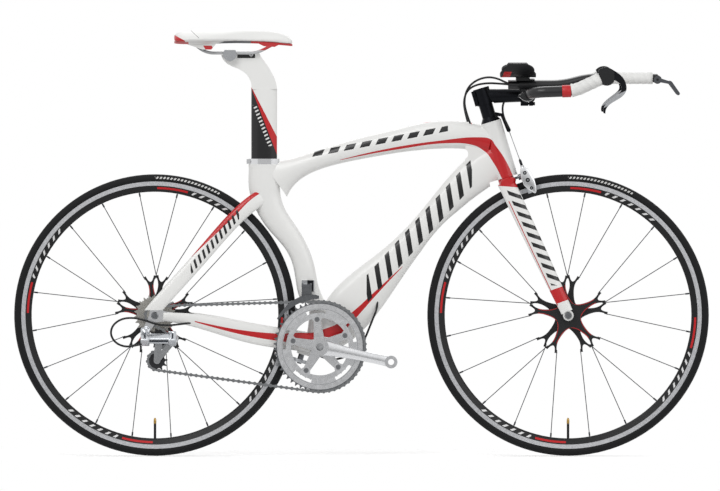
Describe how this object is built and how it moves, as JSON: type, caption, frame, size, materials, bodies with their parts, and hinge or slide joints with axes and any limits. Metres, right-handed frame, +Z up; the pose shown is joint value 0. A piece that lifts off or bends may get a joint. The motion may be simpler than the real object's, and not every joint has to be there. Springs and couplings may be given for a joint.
{
  "type": "time trial bike",
  "caption": "Aero time trial bicycle with a hugging seat tube, bullhorn base bar, arm-rest extensions, star hubs, double crankset and indexed derailleurs.",
  "frame": {"origin": "on the ground midway between the two axles", "axes": "+X forward, +Y to the rider's left, +Z up"},
  "size_m": [1.6479, 0.4324, 1.0081],
  "materials": {
    "white_paint": "gloss lacquer over carbon, red flashes",
    "black_carbon": "satin carbon",
    "silver_alloy": "polished",
    "dark_alloy": "black anodised",
    "steel": "brushed",
    "black_rubber": "matte",
    "black_plastic": "matte",
    "tyre_rubber": "matte",
    "white_leather": "smooth",
    "white_tape": "wrapped cork tape",
    "foam": "foam with knit cover",
    "red_base": "gloss"
  },
  "bodies": {
    "frame": {"main_frame": "white_paint", "rear_stays": "white_paint", "rear_dropouts": "silver_alloy", "seat_collar": "silver_alloy", "bottom_bracket": "dark_alloy", "headset_bearings": "steel", "fd_body": "silver_alloy", "rear_brake_mount": "steel", "rear_axle": "steel", "chain": "steel", "control_cables": "black_rubber", "rd_upper_knuckle": "dark_alloy"},
    "seatpost_slider": {"seatpost": "white_paint", "saddle_clamp": "silver_alloy"},
    "saddle": {"saddle_cover": "white_leather", "saddle_base": "red_base"},
    "steering": {"fork": "white_paint", "headset_spacers": "dark_alloy", "stem": "dark_alloy", "base_bar": "black_carbon", "bar_tape": "white_tape", "extensions": "black_carbon", "arm_rest_brackets": "black_plastic", "arm_pads": "foam", "control_bodies": "black_plastic", "front_brake_cable": "black_rubber", "front_brake_mount": "steel", "front_axle": "steel"},
    "front_wheel": {"front_tyre_and_tube": "tyre_rubber", "front_rim": "dark_alloy", "front_spokes": "steel", "front_hub": "black_carbon"},
    "rear_wheel": {"rear_tyre_and_tube": "tyre_rubber", "rear_rim": "dark_alloy", "rear_spokes": "steel", "rear_hub": "black_carbon"},
    "crankset": {"crank_right": "silver_alloy", "crank_left": "silver_alloy", "big_chainring": "silver_alloy", "small_chainring": "silver_alloy", "chainring_bolts": "steel"},
    "sprockets": {"cassette": "steel"},
    "guide_wheel": {"guide_pulley": "black_plastic"},
    "tension_wheel": {"tension_pulley": "black_plastic"},
    "derailleur_outer_link": {"rd_outer_link": "silver_alloy"},
    "derailleur_inner_link": {"rd_inner_link": "silver_alloy"},
    "derailleur_knuckle": {"rd_lower_knuckle": "dark_alloy"},
    "derailleur_cage": {"rd_cage": "steel"},
    "front_derailleur_link": {"fd_link": "silver_alloy"},
    "front_derailleur_cage": {"fd_cage": "steel"},
    "left_brake_lever": {"brake_lever_left": "dark_alloy"},
    "right_brake_lever": {"brake_lever_right": "dark_alloy"},
    "left_shift_lever": {"shift_lever_left": "dark_alloy"},
    "right_shift_lever": {"shift_lever_right": "dark_alloy"},
    "front_release": {"front_release_lever": "silver_alloy"},
    "rear_release": {"rear_release_lever": "silver_alloy"},
    "front_left_brake_arm": {"front_brake_arm_left": "silver_alloy"},
    "front_right_brake_arm": {"front_brake_arm_right": "silver_alloy"},
    "rear_left_brake_arm": {"rear_brake_arm_left": "silver_alloy"},
    "rear_right_brake_arm": {"rear_brake_arm_right": "silver_alloy"}
  },
  "joints": [
    {"name": "seatpost_height", "type": "slide", "parent": "frame", "child": "seatpost_slider", "axis": [0, 0, 1], "range_m": [-0.01, 0.03]},
    {"name": "saddle_fore_aft", "type": "slide", "parent": "seatpost_slider", "child": "saddle", "axis": [1, 0, 0], "range_m": [-0.012, 0.012]},
    {"name": "steering_turn", "type": "hinge", "parent": "frame", "child": "steering", "pos_m": [0.44786, 0, 0.32136], "axis": [-0.2874, 0, 0.9578], "range_deg": [-40, 40], "deforming": ["control_cables"]},
    {"name": "front_wheel_spin", "type": "hinge", "parent": "steering", "child": "front_wheel", "pos_m": [0.49, 0, 0.334], "axis": [0, 1, 0], "continuous": true},
    {"name": "rear_wheel_spin", "type": "hinge", "parent": "frame", "child": "rear_wheel", "pos_m": [-0.49, 0, 0.334], "axis": [0, 1, 0], "continuous": true},
    {"name": "crank_spin", "type": "hinge", "parent": "frame", "child": "crankset", "pos_m": [-0.0987, 0, 0.26], "axis": [0, 1, 0], "continuous": true, "deforming": ["chain"]},
    {"name": "cassette_spin", "type": "hinge", "parent": "frame", "child": "sprockets", "pos_m": [-0.49, 0, 0.334], "axis": [0, 1, 0], "continuous": true},
    {"name": "right_shift", "type": "hinge", "parent": "steering", "child": "right_shift_lever", "pos_m": [0.701, -0.055, 0.893], "axis": [0, 1, 0], "range_deg": [0, 60], "deforming": ["chain"]},
    {"name": "left_shift", "type": "hinge", "parent": "steering", "child": "left_shift_lever", "pos_m": [0.701, 0.055, 0.893], "axis": [0, 1, 0], "range_deg": [-40, 0], "deforming": ["chain"]},
    {"name": "outer_link_swing", "type": "hinge", "parent": "frame", "child": "derailleur_outer_link", "pos_m": [-0.508, -0.09204, 0.28428], "axis": [0, 0.6115, 0.7912], "range_deg": [0, 50], "deforming": ["chain"]},
    {"name": "inner_link_swing", "type": "hinge", "parent": "frame", "child": "derailleur_inner_link", "pos_m": [-0.508, -0.08096, 0.27572], "axis": [0, 0.6115, 0.7912], "range_deg": [0, 50]},
    {"name": "lower_knuckle_turn", "type": "hinge", "parent": "derailleur_outer_link", "child": "derailleur_knuckle", "pos_m": [-0.452, -0.09204, 0.28428], "axis": [0, 0.6115, 0.7912], "range_deg": [-50, 0]},
    {"name": "cage_swing", "type": "hinge", "parent": "derailleur_knuckle", "child": "derailleur_cage", "pos_m": [-0.442, -0.0595, 0.28], "axis": [0, 1, 0], "range_deg": [-20, 2], "stiffness_Nm_per_rad": 0.6, "deforming": ["chain"]},
    {"name": "guide_spin", "type": "hinge", "parent": "derailleur_cage", "child": "guide_wheel", "pos_m": [-0.48, -0.0595, 0.28], "axis": [0, 1, 0], "continuous": true},
    {"name": "tension_spin", "type": "hinge", "parent": "derailleur_cage", "child": "tension_wheel", "pos_m": [-0.4844, -0.0595, 0.22718], "axis": [0, 1, 0], "continuous": true},
    {"name": "front_shift_link", "type": "hinge", "parent": "frame", "child": "front_derailleur_link", "pos_m": [-0.13, -0.031, 0.385], "axis": [1, 0, 0], "range_deg": [-15, 0], "deforming": ["chain"]},
    {"name": "front_cage_turn", "type": "hinge", "parent": "front_derailleur_link", "child": "front_derailleur_cage", "pos_m": [-0.13, -0.0326, 0.406], "axis": [1, 0, 0], "range_deg": [0, 15]},
    {"name": "left_brake_pull", "type": "hinge", "parent": "steering", "child": "left_brake_lever", "pos_m": [0.585, 0.2, 0.902], "axis": [0, 1, 0], "range_deg": [0, 25], "stiffness_Nm_per_rad": 0.8},
    {"name": "right_brake_pull", "type": "hinge", "parent": "steering", "child": "right_brake_lever", "pos_m": [0.585, -0.2, 0.902], "axis": [0, 1, 0], "range_deg": [0, 25], "stiffness_Nm_per_rad": 0.8},
    {"name": "front_left_arm_close", "type": "hinge", "parent": "steering", "child": "front_left_brake_arm", "pos_m": [0.37161, 0.013, 0.66076], "axis": [0.9578, 0, 0.2874], "range_deg": [-2, 0]},
    {"name": "front_right_arm_close", "type": "hinge", "parent": "steering", "child": "front_right_brake_arm", "pos_m": [0.37161, -0.013, 0.66076], "axis": [0.9578, 0, 0.2874], "range_deg": [0, 2]},
    {"name": "rear_left_arm_close", "type": "hinge", "parent": "frame", "child": "rear_left_brake_arm", "pos_m": [-0.14208, 0.013, 0.2414], "axis": [-0.2706, 0, -0.9627], "range_deg": [-2, 0]},
    {"name": "rear_right_arm_close", "type": "hinge", "parent": "frame", "child": "rear_right_brake_arm", "pos_m": [-0.14208, -0.013, 0.2414], "axis": [-0.2706, 0, -0.9627], "range_deg": [0, 2]},
    {"name": "front_release_turn", "type": "hinge", "parent": "steering", "child": "front_release", "pos_m": [0.49, 0.065, 0.334], "axis": [-0.9063, 0, -0.4226], "range_deg": [0, 150]},
    {"name": "rear_release_turn", "type": "hinge", "parent": "frame", "child": "rear_release", "pos_m": [-0.49, 0.08, 0.334], "axis": [-0.5, 0, 0.866], "range_deg": [0, 150]}
  ],
  "couplings": [
    {"joint": "cassette_spin", "follows": "crank_spin", "ratio": 4.8182},
    {"joint": "guide_spin", "follows": "crank_spin", "ratio": -4.8182},
    {"joint": "tension_spin", "follows": "crank_spin", "ratio": 4.8182},
    {"joint": "outer_link_swing", "follows": "right_shift", "ratio": 0.83333},
    {"joint": "inner_link_swing", "follows": "right_shift", "ratio": 0.83333},
    {"joint": "lower_knuckle_turn", "follows": "right_shift", "ratio": -0.83333},
    {"joint": "front_shift_link", "follows": "left_shift", "ratio": 0.375},
    {"joint": "front_cage_turn", "follows": "left_shift", "ratio": -0.375},
    {"joint": "front_left_arm_close", "follows": "left_brake_pull", "ratio": -0.08},
    {"joint": "front_right_arm_close", "follows": "left_brake_pull", "ratio": 0.08},
    {"joint": "rear_left_arm_close", "follows": "right_brake_pull", "ratio": -0.08},
    {"joint": "rear_right_arm_close", "follows": "right_brake_pull", "ratio": 0.08}
  ]
}
